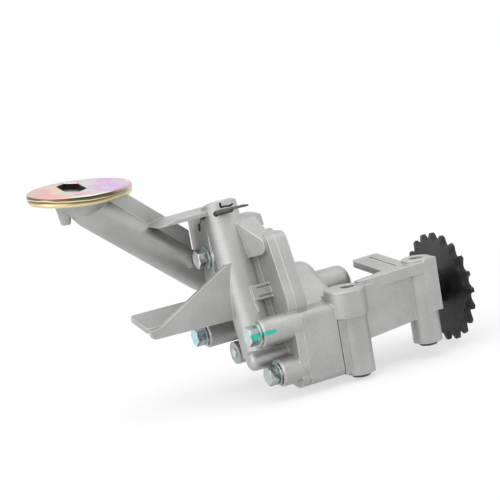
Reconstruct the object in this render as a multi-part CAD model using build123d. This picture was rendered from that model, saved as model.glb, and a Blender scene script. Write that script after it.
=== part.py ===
from build123d import *
import os
from math import acos, atan2, cos, degrees, hypot, pi, radians, sin, sqrt, tan

# Chain-driven engine oil pump, in millimetres.
# Origin: centre of the bolt hole of the pump-side mounting boss, on its mating face.
# +X runs along the drive shaft towards the sprocket, +Z away from the engine block,
# +Y completes the frame. The mating faces look down (-Z), the strainer looks up.

os.makedirs("parts", exist_ok=True)

# ---- shaft and gears -------------------------------------------------------------
SHAFT_Y, SHAFT_Z = 21.0, 29.5        # drive shaft axis, parallel to X
IDLER_Y, IDLER_Z = 42.0, 43.5        # driven gear axis, parallel to X
GEAR_TEETH = 10
GEAR_PRESSURE_ANGLE = 25.0           # degrees
GEAR_WIDTH = 25.8
GEAR_BACKLASH = 0.10                 # taken off each tooth's thickness at the pitch circle
GEAR_TIP_CLEARANCE = 0.08            # tooth tip to pocket wall
GEAR_END_CLEARANCE = 0.10            # each gear face to its end wall
SHAFT_DIAMETER = 12.0
RUNNING_CLEARANCE = 0.03             # radial, a shaft in its bush
BUSH_WALL = 1.5
BUSH_LENGTH = 13.0
IDLER_PIN_DIAMETER = 10.0

# ---- sprocket --------------------------------------------------------------------
SPROCKET_X = 74.5                    # middle of the teeth
SPROCKET_TEETH = 20
CHAIN_PITCH = 9.525
CHAIN_ROLLER = 6.35
TOOTH_THICKNESS = 5.2
TOOTH_EDGE = 2.2                     # thickness left at the chamfered tips
TOOTH_HEIGHT = 2.5                   # above the pitch circle
TOOTH_ROOT_CLEARANCE = 0.05
TOOTH_PHASE = 34.75                  # one tip, in degrees from +Y towards +Z
HUB_DIAMETER = 19.0
HUB_TO_ARM = 0.5                     # running gap between the hub and the arm's nose
SHAFT_STUB = 3.0                     # shaft showing beyond the sprocket

# ---- pump body -------------------------------------------------------------------
JOINT_X = -34.0                      # face where body and cover meet
FLANGE_THICKNESS = 6.8
BODY_WALL = 3.2                      # outside the gear pockets
BODY_END_WALL = 7.0
NOSE_ROUND = 5.0                     # round on the outer edge of the gear housing
NEAR_WALL_Y = -5.0                   # flat outer wall beside the bosses
FLOOR_Z = 1.5                        # underside of the bolt block
BLOCK_TOP_Z = 43.3
BLOCK_END_X = -12.5
IDLER_BOSS_DIAMETER = 20.6
IDLER_BOSS_END_X = 22.5
SHAFT_TUBE_DIAMETER = 20.0
NOSE_X = 59.0                        # outer end of the tube round the shaft

# ---- mounting bosses -------------------------------------------------------------
BOSS_SPACING = 47.0
BOSS_DIAMETER = 17.0
BOSS_1_TOP_Z = 49.5
COLLAR_Z = 34.2                      # the pump-side boss is wider above this height
COLLAR_DIAMETER = 23.5
BOSS_2_FACE_Z = 6.0
BOSS_2_TOP_Z = 55.2
PAD_Y = -9.3                         # flat near face beside the sprocket-side boss
PAD_HEIGHT = 31.0
BOLT_HOLE_DIAMETER = 8.5
DOWEL_OUTSIDE = 11.0
DOWEL_DEPTH = 8.0                    # seated in the boss
DOWEL_PROUD = 2.2                    # standing out of the mating face

# ---- arm between the bosses --------------------------------------------------------
WEB_THICKNESS = 5.0
WEB_MIDDLE_Y = -1.0
WEB_BOTTOM_Z = 19.2
WEB_TOP_Z = 50.5
LEDGE_Z = 50.4                       # top of the ledge at the pump-side boss
LEDGE_RISE = 4.1                     # degrees that it climbs towards the sprocket
LEDGE_HEIGHT = 6.0
LEDGE_NEAR_Y = -2.0                  # its near edge at the pump-side boss
SUMP_TILT = 6.0                      # degrees that the oil-level faces rise towards +Y
BLADE_X0, BLADE_X1 = 26.0, 44.3
BLADE_LENGTH = 38.5
BLADE_THICKNESS = 4.0
BLADE_GROOVE = 1.4

# ---- cover -----------------------------------------------------------------------
COVER_THICKNESS = 5.0
RELIEF_X = -50.0
RELIEF_Y, RELIEF_Z = 30.9, 61.7      # a point on the relief valve's axis
RELIEF_TILT = 15.7                   # degrees, top leaning towards +Y
RELIEF_DIAMETER = 21.0
RELIEF_TOP = 46.3                    # along the axis, from that point
RELIEF_BOTTOM = -43.5
PLUNGER_DIAMETER = 14.0
PLUNGER_LENGTH = 22.0
PLUNGER_WALL = 2.0
PLUNGER_CLEARANCE = 0.04
SEAT_LEDGE = -35.0                   # the plunger's stop, along the axis
PLUNGER_TRAVEL = 8.0
SPRING_WIRE = 1.6
SPRING_DIAMETER = 9.2                # outside
SPRING_TURNS = 9
SPRING_SEAT_LENGTH = 9.0
SPLIT_PIN_DIAMETER = 3.0
SPLIT_PIN_AT = 39.3                  # along the axis
SPLIT_PIN_TURN = 53.0                # degrees of the pin about the axis, from +X
SPLIT_PIN_LEG = 19.3
SPLIT_PIN_EYE = 2.6                  # radius of the eye's middle
SPRING_CUP_DEPTH = 2.0
GALLERY_Y, GALLERY_Z = 12.0, 20.0    # oil way from the outlet to the relief valve
GALLERY_DIAMETER = 11.0
GALLERY_BORE = 5.0

# ---- cover bolts: hole axis (y, z) and the x where the head seats ------------------
BOLT_NEAR_TOP = (2.0, 36.6, -57.6)
BOLT_NEAR_LOW = (2.0, 12.2, -50.0)
BOLT_FAR_TOP = (48.0, 76.5, -60.5)
BOLT_FAR_LOW = (59.0, 30.5, -66.0)
PLUG_SEAT = (59.0, 15.0, -49.5)
BOLT_DIAMETER = 6.0
BOLT_CLEARANCE = 0.3                 # radial
BOLT_ENGAGEMENT = 14.0               # thread in the body
BOLT_HEAD = 10.0                     # across flats
BOLT_HEAD_HEIGHT = 5.5
WASHER_DIAMETER = 13.0
WASHER_THICKNESS = 1.4
TOWER_DIAMETER = 15.6
PLUG_DIAMETER = 6.0
PLUG_LENGTH = 5.6
PLUG_PROUD = 0.6

# ---- pickup tube and strainer ------------------------------------------------------
PICKUP_DIAMETER = 20.0
PICKUP_BORE = 15.0
STRAINER_TOP_Z = 130.1
PICKUP_HEAD = (-123.8, 57.5, STRAINER_TOP_Z - 10.7)  # under the strainer
PICKUP_FOOT = (-59.0, 64.5, 64.7)    # where the tube turns towards the pump
PICKUP_INLET = (58.0, 57.0)          # (y, z) where it enters the cover
STRAINER_DIAMETER = 58.0
STRAINER_RIM = 5.0
STRAINER_TILT = 5.3                  # degrees that it rises towards +Y
STRAINER_LEAN = 2.0                  # degrees that its outer side is raised
STRAINER_SHEET = 1.2
STRAINER_HOLE = (12.5, 37.0)         # across and along
STRAINER_HOLE_END = 7.0              # length of its pointed ends
STRAINER_HOLE_AT = (-2.4, 6.5)       # from the middle of the cap
FUNNEL_DIAMETER = 38.0
FIN_THICKNESS = 3.0
FIN_HEIGHT = 8.5

# ---- splash plate ------------------------------------------------------------------
PLATE_END_X = -111.0
PLATE_DEPTH = 27.0
PLATE_THICKNESS = 3.0
WEB_PLATE_THICKNESS = 3.2

# ---- outlet ------------------------------------------------------------------------
OUTLET_X, OUTLET_Y = -18.0, 40.0
OUTLET_PORT = 14.0                   # counterbore at the face
OUTLET_PORT_DEPTH = 8.0
OUTLET_BORE = 10.0
OUTLET_FLANGE = 24.0

COVER_DOWELS = ((8.0, 4.5), (20.0, 79.0))
COVER_DOWEL_DIAMETER = 5.0
COVER_DOWEL_LENGTH = 9.0

# ---- values that follow ------------------------------------------------------------
CENTRE_DISTANCE = hypot(IDLER_Y - SHAFT_Y, IDLER_Z - SHAFT_Z)
CENTRE_ANGLE = degrees(atan2(IDLER_Z - SHAFT_Z, IDLER_Y - SHAFT_Y))
GEAR_MODULE = CENTRE_DISTANCE / GEAR_TEETH
GEAR_TIP_RADIUS = (GEAR_TEETH / 2 + 1) * GEAR_MODULE
POCKET_RADIUS = GEAR_TIP_RADIUS + GEAR_TIP_CLEARANCE
POCKET_END_X = JOINT_X + GEAR_WIDTH + 2 * GEAR_END_CLEARANCE
HOUSING_END_X = POCKET_END_X + BODY_END_WALL
COVER_OUT_X = JOINT_X - COVER_THICKNESS
HUB_START_X = NOSE_X + HUB_TO_ARM
SPROCKET_PITCH_RADIUS = CHAIN_PITCH / (2 * sin(pi / SPROCKET_TEETH))
BUSH_RADIUS = SHAFT_DIAMETER / 2 + RUNNING_CLEARANCE
BUSH_OUTSIDE = BUSH_RADIUS + BUSH_WALL
PLUNGER_BORE = PLUNGER_DIAMETER / 2 + PLUNGER_CLEARANCE
SHAFT = (SHAFT_Y, SHAFT_Z)
IDLER = (IDLER_Y, IDLER_Z)


# ---- construction helpers ------------------------------------------------------------
def rod_x(centre, radius, x0, x1):
    """Round bar along X, with its axis at (y, z)."""
    place = Pos(x0, centre[0], centre[1]) * Rot(0, 90, 0)
    return place * Cylinder(radius, x1 - x0, align=(Align.CENTER, Align.CENTER, Align.MIN))


def rod_z(x, y, radius, z0, z1):
    """Round bar along Z."""
    return Pos(x, y, z0) * Cylinder(radius, z1 - z0, align=(Align.CENTER, Align.CENTER, Align.MIN))


def block(x0, x1, y0, y1, z0, z1):
    """Straight block between six faces."""
    return Pos(x0, y0, z0) * Box(x1 - x0, y1 - y0, z1 - z0, align=(Align.MIN,) * 3)


def hull_face(discs):
    """Outline drawn tight round discs (y, z, radius)."""
    circles = [Pos(y, z) * Circle(r) for y, z, r in discs]
    return make_hull([edge for circle in circles for edge in circle.edges()])


def hull_x(discs, x0, x1):
    """Slab along X whose outline is drawn tight round discs."""
    return extrude(Plane.YZ.offset(x0) * hull_face(discs), x1 - x0)


def plate_xz(points, y0, y1):
    """Flat plate with corners (x, z), from y0 to y1."""
    face = Plane.XZ.offset(-y1) * make_face(Polyline(*points, close=True))
    return extrude(face, y1 - y0)


def relief(shape):
    """Shape drawn about Z, moved onto the relief valve's axis."""
    lean = radians(RELIEF_TILT)
    frame = Plane((RELIEF_X, RELIEF_Y, RELIEF_Z), x_dir=(1, 0, 0), z_dir=(0, sin(lean), cos(lean)))
    return frame * shape


def relief_rod(radius, low, high):
    """Round bar on the relief valve's axis."""
    return relief(rod_z(0, 0, radius, low, high))


def fuse(shapes):
    """One solid from several that meet."""
    whole = shapes[0]
    for shape in shapes[1:]:
        whole += shape
    return whole


def cut(whole, tools):
    """Whole less each tool."""
    for tool in tools:
        whole -= tool
    return whole


# ---- outline shared by the two castings ----------------------------------------------
def flange_discs():
    """Two groups of discs: the pump chamber and the suction side above it."""
    near = BOLT_NEAR_TOP[0] - NEAR_WALL_Y
    chamber = [
        (BOLT_NEAR_TOP[0], BOLT_NEAR_TOP[1], near),
        (BOLT_NEAR_LOW[0], BOLT_NEAR_LOW[1] - 4.5, near),
        (SHAFT_Y, SHAFT_Z, POCKET_RADIUS + 5),
        (IDLER_Y, IDLER_Z, POCKET_RADIUS + 5),
        (BOLT_FAR_LOW[0], BOLT_FAR_LOW[1], near),
        (PLUG_SEAT[0], PLUG_SEAT[1], near),
    ]
    suction = [
        (NEAR_WALL_Y + 17.5, SHAFT_Z + 19.5, 14.0),
        (COVER_DOWELS[1][0] - 4, COVER_DOWELS[1][1] + 1, near),
        (BOLT_FAR_TOP[0] + 9, BOLT_FAR_TOP[1] - 1, near + 2),
        (BOLT_FAR_LOW[0], BOLT_FAR_LOW[1], near),
        (IDLER_Y, IDLER_Z, POCKET_RADIUS),
    ]
    return chamber, suction


def flange(x0, x1):
    """Flange slab between two X faces."""
    chamber, suction = flange_discs()
    return hull_x(chamber, x0, x1) + hull_x(suction, x0, x1)


def bolt_centres():
    return [BOLT_NEAR_TOP, BOLT_NEAR_LOW, BOLT_FAR_TOP, BOLT_FAR_LOW]


# ---- gears ----------------------------------------------------------------------------
def involute_point(base, radius, turn):
    """Point at a radius on the involute that starts at angle turn."""
    roll = sqrt((radius / base) ** 2 - 1)
    angle = turn + roll - acos(base / radius)
    return (radius * cos(angle), radius * sin(angle))


def gear_face():
    """Gear outline with involute flanks, one tooth centred on local X."""
    pitch = GEAR_MODULE * GEAR_TEETH / 2
    base = pitch * cos(radians(GEAR_PRESSURE_ANGLE))
    root = pitch - 1.22 * GEAR_MODULE
    alpha = radians(GEAR_PRESSURE_ANGLE)
    half = (pi * GEAR_MODULE / 2 - GEAR_BACKLASH) / (2 * pitch)
    start = -(half + tan(alpha) - alpha)
    radii = [base + (GEAR_TIP_RADIUS - base) * k / 4 for k in range(5)]
    low = [involute_point(base, r, start) for r in radii]
    high = [(x, -y) for x, y in low]
    inner = 0.9 * root
    foot_low = (inner * cos(start), inner * sin(start))
    foot_high = (foot_low[0], -foot_low[1])
    tooth = make_face(
        Spline(*low)
        + ThreePointArc(low[-1], (GEAR_TIP_RADIUS, 0), high[-1])
        + Spline(*high[::-1])
        + Polyline(high[0], foot_high, foot_low, low[0])
    )
    outline = Circle(root)
    for k in range(GEAR_TEETH):
        outline += Rot(0, 0, 360 * k / GEAR_TEETH) * tooth
    return outline


def gear(centre, bore, turn):
    """Pump gear along X, turned about its axis."""
    outline = Rot(0, 0, turn) * gear_face() - Circle(bore)
    x0 = JOINT_X + GEAR_END_CLEARANCE
    return Pos(x0, centre[0], centre[1]) * extrude(Plane.YZ * outline, GEAR_WIDTH)


def make_drive_gear():
    """A tooth of the drive gear points at the driven gear's axis."""
    return gear(SHAFT, SHAFT_DIAMETER / 2, CENTRE_ANGLE)


def make_driven_gear():
    """A gap of the driven gear faces the drive gear's axis."""
    bore = IDLER_PIN_DIAMETER / 2 + RUNNING_CLEARANCE + BUSH_WALL
    return gear(IDLER, bore, CENTRE_ANGLE + 180 + 180 / GEAR_TEETH)


def make_drive_shaft():
    """Shaft from its blind bush in the cover out through the sprocket."""
    end = SPROCKET_X + TOOTH_THICKNESS / 2 + SHAFT_STUB
    shaft = rod_x(SHAFT, SHAFT_DIAMETER / 2, COVER_OUT_X, end)
    return chamfer(shaft.edges().filter_by(GeomType.CIRCLE), 0.8)


# ---- sprocket ----------------------------------------------------------------------------
def sprocket_face():
    """Disc with a roller seat between each pair of teeth."""
    tip = SPROCKET_PITCH_RADIUS + TOOTH_HEIGHT
    seat = CHAIN_ROLLER / 2 + TOOTH_ROOT_CLEARANCE
    mouth = SPROCKET_PITCH_RADIUS + 2 * TOOTH_HEIGHT
    half_mouth = pi * mouth / SPROCKET_TEETH * 0.86
    lean = Polyline(
        (SPROCKET_PITCH_RADIUS - 1.4, -seat * 0.88),
        (mouth, -half_mouth),
        (mouth, half_mouth),
        (SPROCKET_PITCH_RADIUS - 1.4, seat * 0.88),
        close=True,
    )
    gap = Pos(SPROCKET_PITCH_RADIUS, 0) * Circle(seat) + make_face(lean)
    outline = Circle(tip)
    for k in range(SPROCKET_TEETH):
        outline -= Rot(0, 0, TOOTH_PHASE + 360 * (k + 0.5) / SPROCKET_TEETH) * gap
    return outline


def make_sprocket():
    """Toothed disc with chamfered teeth and a hub facing the pump."""
    tip = SPROCKET_PITCH_RADIUS + TOOTH_HEIGHT
    half = TOOTH_THICKNESS / 2
    edge = TOOTH_EDGE / 2
    run = 4.4
    disc = extrude(Plane.YZ.offset(-half) * sprocket_face(), TOOTH_THICKNESS)
    section = make_face(
        Polyline((0, -half), (tip - run, -half), (tip, -edge), (tip, edge), (tip - run, half), (0, half), close=True)
    )
    lens = Rot(0, 90, 0) * revolve(Plane.XZ * section, Axis.Z)
    disc = Pos(SPROCKET_X, SHAFT_Y, SHAFT_Z) * (disc & lens)
    hub = rod_x(SHAFT, HUB_DIAMETER / 2, HUB_START_X, SPROCKET_X + half + 1.0)
    bore = rod_x(SHAFT, SHAFT_DIAMETER / 2, HUB_START_X - 1, SPROCKET_X + 3 * half)
    return disc + hub - bore


# ---- bushes and pins ---------------------------------------------------------------------
def bush(centre, bore, x0, length):
    """Plain bearing bush."""
    return rod_x(centre, bore + BUSH_WALL, x0, x0 + length) - rod_x(centre, bore, x0 - 1, x0 + length + 1)


def make_nose_bush():
    return bush(SHAFT, BUSH_RADIUS, NOSE_X - BUSH_LENGTH, BUSH_LENGTH)


def make_body_bush():
    return bush(SHAFT, BUSH_RADIUS, POCKET_END_X, BUSH_LENGTH)


def make_cover_bush():
    return bush(SHAFT, BUSH_RADIUS, COVER_OUT_X, COVER_THICKNESS)


def make_idler_bush():
    return bush(IDLER, IDLER_PIN_DIAMETER / 2 + RUNNING_CLEARANCE, JOINT_X + GEAR_END_CLEARANCE, GEAR_WIDTH)


def make_idler_pin():
    """Fixed pin that the driven gear turns on, pressed into the body's long boss."""
    pin = rod_x(IDLER, IDLER_PIN_DIAMETER / 2, JOINT_X + GEAR_END_CLEARANCE, IDLER_BOSS_END_X - 6)
    return chamfer(pin.edges().filter_by(GeomType.CIRCLE), 0.6)


def dowel_sleeve(x, face_z):
    """Hollow dowel round a mounting bolt."""
    z0, z1 = face_z - DOWEL_PROUD, face_z + DOWEL_DEPTH
    sleeve = rod_z(x, 0, DOWEL_OUTSIDE / 2, z0, z1)
    sleeve = chamfer(sleeve.edges().filter_by(GeomType.CIRCLE), 0.5)
    return sleeve - rod_z(x, 0, BOLT_HOLE_DIAMETER / 2, z0 - 1, z1 + 1)


def make_mounting_dowels():
    return Compound(children=[dowel_sleeve(0, 0), dowel_sleeve(BOSS_SPACING, BOSS_2_FACE_Z)])


def cover_dowel_rod(centre, grow):
    """Solid pin across the joint, or its hole when it grows."""
    half = COVER_DOWEL_LENGTH / 2 + grow
    middle = JOINT_X + (FLANGE_THICKNESS - COVER_THICKNESS) / 2
    return rod_x(centre, COVER_DOWEL_DIAMETER / 2, middle - half, middle + half)


def make_cover_dowels():
    return Compound(children=[cover_dowel_rod(c, 0) for c in COVER_DOWELS])


# ---- body ----------------------------------------------------------------------------------
def gear_housing():
    """Rounded barrel over both gears."""
    radius = POCKET_RADIUS + BODY_WALL
    discs = [(SHAFT_Y, SHAFT_Z, radius), (IDLER_Y, IDLER_Z, radius)]
    barrel = hull_x(discs, JOINT_X, HOUSING_END_X)
    rim = barrel.faces().sort_by(Axis.X)[-1].edges()
    return fillet(rim, NOSE_ROUND)


def idler_boss():
    """Long round-nosed boss that holds the driven gear's pin."""
    boss = rod_x(IDLER, IDLER_BOSS_DIAMETER / 2, HOUSING_END_X - 8, IDLER_BOSS_END_X)
    return fillet(boss.faces().sort_by(Axis.X)[-1].edges(), 5)


def bolt_block():
    """Thick near side of the body, where the two near bolts thread in."""
    reach = SHAFT_Y - POCKET_RADIUS + 4
    body = block(JOINT_X, BLOCK_END_X, NEAR_WALL_Y, reach, FLOOR_Z, BLOCK_TOP_Z)
    edges = body.edges().filter_by(Axis.X).group_by(Axis.Y)[0]
    return fillet(edges, 4)


def boss_1():
    """Pump-side mounting boss with its wide upper collar."""
    lower = rod_z(0, 0, BOSS_DIAMETER / 2, 0, BOSS_1_TOP_Z)
    collar_x = (BOSS_DIAMETER - COLLAR_DIAMETER) / 2 + 1
    collar = rod_z(collar_x, 0, COLLAR_DIAMETER / 2, COLLAR_Z, BOSS_1_TOP_Z)
    root = block(-BOSS_DIAMETER / 2 - 3, 0, NEAR_WALL_Y + 1, SHAFT_Y - 4, FLOOR_Z, BOSS_1_TOP_Z - 4)
    top = (lower + collar).faces().sort_by(Axis.Z)[-1].edges()
    return fillet(top, 1.2) + root


def boss_2():
    """Sprocket-side mounting boss with the raised pad on its near side."""
    radius = BOSS_DIAMETER / 2
    post = rod_z(BOSS_SPACING, 0, radius, BOSS_2_FACE_Z, BOSS_2_TOP_Z)
    pad = block(BOSS_SPACING - 1, BOSS_SPACING + radius - 1, PAD_Y, 0, BOSS_2_TOP_Z - PAD_HEIGHT, BOSS_2_TOP_Z)
    pad = fillet(pad.edges().filter_by(Axis.Y).group_by(Axis.Z)[-1].sort_by(Axis.X)[0], 2.0)
    whole = post + pad
    return fillet(whole.faces().sort_by(Axis.Z)[-1].edges(), 0.6)


def ledge():
    """Climbing ledge along the arm's top, flaring out to the pad of the second boss."""
    start = BOSS_DIAMETER / 2 - 2
    far_y = WEB_MIDDLE_Y + WEB_THICKNESS / 2 + 1.5
    slope = tan(radians(LEDGE_RISE))
    low, high = LEDGE_Z + start * slope, LEDGE_Z + BOSS_SPACING * slope
    side = plate_xz(
        [(start, low - LEDGE_HEIGHT), (BOSS_SPACING, high - LEDGE_HEIGHT), (BOSS_SPACING, high), (start, low)],
        PAD_Y - 1, far_y,
    )
    plan = Polyline(
        (start, far_y), (start, LEDGE_NEAR_Y), (BOSS_SPACING, PAD_Y), (BOSS_SPACING, far_y), close=True,
    )
    return side & (Pos(0, 0, LEDGE_Z - 2 * LEDGE_HEIGHT) * extrude(make_face(plan), 4 * LEDGE_HEIGHT))


def arm():
    """Web and top ledge between the bosses, and the tube round the shaft."""
    y0, y1 = WEB_MIDDLE_Y - WEB_THICKNESS / 2, WEB_MIDDLE_Y + WEB_THICKNESS / 2
    radius = SHAFT_TUBE_DIAMETER / 2
    web = plate_xz(
        [(0, WEB_BOTTOM_Z - 2), (BOSS_SPACING, WEB_BOTTOM_Z + 2), (BOSS_SPACING, WEB_TOP_Z), (0, WEB_TOP_Z - 3)],
        y0, y1,
    )
    tube = rod_x(SHAFT, radius, HOUSING_END_X - 8, NOSE_X)
    floor_z = SHAFT_Z - WEB_THICKNESS / 2
    shelf = block(0, NOSE_X - 1, 0, SHAFT_Y, floor_z, floor_z + WEB_THICKNESS)
    nose_web = block(BOSS_SPACING - 3, BOSS_SPACING + 5, 0, SHAFT_Y, SHAFT_Z - radius + 2, SHAFT_Z + radius - 2)
    return [web, ledge(), tube, shelf, nose_web]


def blade():
    """Flat grooved lug that reaches over the shaft, on the tilt of the oil level."""
    corners = [(BLADE_X0, 0), (BLADE_X1, 11), (BLADE_X1, BLADE_LENGTH), (BLADE_X0, BLADE_LENGTH - 1.5)]
    plate = extrude(make_face(Polyline(*corners, close=True)), -BLADE_THICKNESS)
    tip = plate.edges().filter_by(Axis.Z).group_by(Axis.Y)[-1]
    plate = fillet(plate.edges().filter_by(Axis.Z).sort_by(Axis.Y)[-2:], 2)
    root = extrude(
        make_face(Polyline((BLADE_X0, -1), (BLADE_X1, -1), (BLADE_X1, 12), (BLADE_X0, 1), close=True)),
        -BLADE_THICKNESS,
    )
    middle = (BLADE_X0 + BLADE_X1) / 2 + 2
    groove = Pos(middle, BLADE_LENGTH / 2 + 1, 0) * Box(BLADE_GROOVE, BLADE_LENGTH - 8, 2 * BLADE_THICKNESS / 3)
    lug = plate + root - groove
    return Pos(0, 0, WEB_TOP_Z + 1.2) * Rot(SUMP_TILT, 0, 0) * lug


def outlet_boss():
    """Round outlet port under the gears, level with the pump-side mating face."""
    return rod_z(OUTLET_X, OUTLET_Y, OUTLET_FLANGE / 2, 0, IDLER_Z - POCKET_RADIUS)


def body_cavities():
    """Gear pockets, bores, ports and holes taken out of the body."""
    tools = [
        rod_x(SHAFT, POCKET_RADIUS, JOINT_X - 1, POCKET_END_X),
        rod_x(IDLER, POCKET_RADIUS, JOINT_X - 1, POCKET_END_X),
        rod_x(SHAFT, BUSH_OUTSIDE, POCKET_END_X - 1, POCKET_END_X + BUSH_LENGTH),
        rod_x(SHAFT, SHAFT_DIAMETER / 2 + 0.7, POCKET_END_X, NOSE_X - 1),
        rod_x(SHAFT, BUSH_OUTSIDE, NOSE_X - BUSH_LENGTH, NOSE_X + 1),
        rod_x(IDLER, IDLER_PIN_DIAMETER / 2, POCKET_END_X - 1, IDLER_BOSS_END_X - 6),
        rod_z(0, 0, BOLT_HOLE_DIAMETER / 2, -1, BOSS_1_TOP_Z + 1),
        rod_z(0, 0, DOWEL_OUTSIDE / 2, -1, DOWEL_DEPTH),
        rod_z(BOSS_SPACING, 0, BOLT_HOLE_DIAMETER / 2, BOSS_2_FACE_Z - 1, BOSS_2_TOP_Z + 1),
        rod_z(BOSS_SPACING, 0, DOWEL_OUTSIDE / 2, BOSS_2_FACE_Z - 1, BOSS_2_FACE_Z + DOWEL_DEPTH),
        rod_z(OUTLET_X, OUTLET_Y, OUTLET_BORE / 2, -1, IDLER_Z - POCKET_RADIUS + 4),
        rod_z(OUTLET_X, OUTLET_Y, OUTLET_PORT / 2, -1, OUTLET_PORT_DEPTH),
    ]
    for y, z, _ in bolt_centres():
        tools.append(rod_x((y, z), BOLT_DIAMETER / 2, JOINT_X - 1, JOINT_X + BOLT_ENGAGEMENT))
    for centre in COVER_DOWELS:
        tools.append(cover_dowel_rod(centre, 0.5))
    return tools


def thread_bosses():
    """Short bosses behind the flange for the two far bolts."""
    return [rod_x((y, z), 8, JOINT_X, JOINT_X + BOLT_ENGAGEMENT + 2) for y, z, _ in (BOLT_FAR_TOP, BOLT_FAR_LOW)]


def make_pump_body():
    """Die-cast body: flange, gear housing, mounting bosses, arm and blade."""
    masses = [flange(JOINT_X, JOINT_X + FLANGE_THICKNESS), gear_housing(), idler_boss(), bolt_block()]
    masses += thread_bosses()
    masses += [outlet_boss(), boss_1(), boss_2(), *arm(), blade()]
    return cut(fuse(masses), body_cavities())


# ---- cover -----------------------------------------------------------------------------------
def towers():
    """Bolt towers that stand out to each head's seat."""
    posts = []
    for y, z, seat in bolt_centres():
        post = rod_x((y, z), TOWER_DIAMETER / 2, seat, JOINT_X)
        posts.append(chamfer(post.faces().sort_by(Axis.X)[0].edges(), 0.8))
    posts.append(rod_x(PLUG_SEAT[:2], TOWER_DIAMETER / 2 - 1, PLUG_SEAT[2], JOINT_X))
    return posts


def pickup_path():
    """Centre line of the suction tube, from the strainer down to the pump."""
    points = [
        (PICKUP_HEAD[0], PICKUP_HEAD[1], STRAINER_TOP_Z),
        PICKUP_HEAD,
        PICKUP_FOOT,
        (COVER_OUT_X, *PICKUP_INLET),
    ]
    return FilletPolyline(*points, radius=PICKUP_DIAMETER / 2 + 3)


def tube_along(path, radius):
    """Round bar swept along a path."""
    start = Plane(path @ 0, z_dir=path % 0)
    return sweep(start * Circle(radius), path=path)


def pickup_tube():
    """Suction tube, its stiffening fin and the bell under the strainer."""
    tube = tube_along(pickup_path(), PICKUP_DIAMETER / 2)
    head_x, head_y, head_z = PICKUP_HEAD
    foot_x, foot_y, foot_z = PICKUP_FOOT
    reach = hypot(foot_x - head_x, foot_y - head_y)
    slope = (head_z - foot_z) / reach
    lift = (PICKUP_DIAMETER / 2 + FIN_HEIGHT) * sqrt(1 + slope * slope)
    fin_points = [
        (6, head_z - 4),
        (reach - 4, foot_z),
        (reach - 4, foot_z + 4 * slope + lift),
        (24, head_z - 24 * slope + lift),
    ]
    fin = plate_xz(fin_points, -FIN_THICKNESS / 2, FIN_THICKNESS / 2)
    lean = degrees(atan2(foot_y - head_y, foot_x - head_x))
    fin = Pos(head_x, head_y, 0) * Rot(0, 0, lean) * fin
    return [tube, fin, bell()]


def strainer_place(shape):
    """Shape drawn about Z with its top at zero, moved to the strainer's place."""
    return Pos(PICKUP_HEAD[0], PICKUP_HEAD[1], STRAINER_TOP_Z) * Rot(STRAINER_TILT, STRAINER_LEAN, 0) * shape


def bell():
    """Cone that opens the tube out under the strainer, and the small lug beside it."""
    low = PICKUP_HEAD[2] - STRAINER_TOP_Z - 4
    cone = Pos(0, 0, (low - STRAINER_RIM) / 2) * Cone(PICKUP_DIAMETER / 2, FUNNEL_DIAMETER / 2, -STRAINER_RIM - low)
    lug_x = -FUNNEL_DIAMETER / 2 + 8.8
    lug = Pos(lug_x, 0, -STRAINER_RIM - 7) * Cone(2.6, 5.5, 14)
    return strainer_place(cone + lug)


def splash_plate():
    """Oil splash plate: a level shelf on an upright web that carries it to the relief bore."""
    web_y = RELIEF_Y - 4.0
    web = plate_xz(
        [(PLATE_END_X + 1.3, RELIEF_Z - 18.4), (RELIEF_X, RELIEF_Z - 19.5), (RELIEF_X, RELIEF_Z + 15.5),
         (RELIEF_X - 12.5, RELIEF_Z + 10.2), (PLATE_END_X + 7, RELIEF_Z - 13), (PLATE_END_X + 1.3, RELIEF_Z - 13.5)],
        -WEB_PLATE_THICKNESS / 2, WEB_PLATE_THICKNESS / 2,
    )
    web = Pos(0, web_y, 0) * web
    web = fillet(web.edges().filter_by(Axis.Y).group_by(Axis.X)[0].sort_by(Axis.Z)[0], 2.5)
    shelf = block(PLATE_END_X, COVER_OUT_X + 2, 0, PLATE_DEPTH, -PLATE_THICKNESS, 0)
    shelf = fillet(shelf.edges().filter_by(Axis.Z).group_by(Axis.X)[0], 3)
    shelf = Pos(0, web_y, RELIEF_Z - 12) * Rot(SUMP_TILT + 3, 0, 0) * shelf
    return [web, shelf]


def suction_box():
    """Casting round the suction passage, behind the relief bore."""
    y0, seat = BOLT_FAR_TOP[0], BOLT_FAR_TOP[2]
    box = plate_xz(
        [(JOINT_X, 43), (COVER_OUT_X - 8, 49), (seat, 59), (seat, 100.5), (RELIEF_X - 3, 101),
         (RELIEF_X + 3, 90), (JOINT_X, 85)],
        y0 - 7, y0 + 19,
    )
    top = plate_xz([(-90, 100.5), (RELIEF_X, 101.5), (RELIEF_X, 104), (-79, 103)], y0 - 11, y0 + 13)
    return [box, top]


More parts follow.
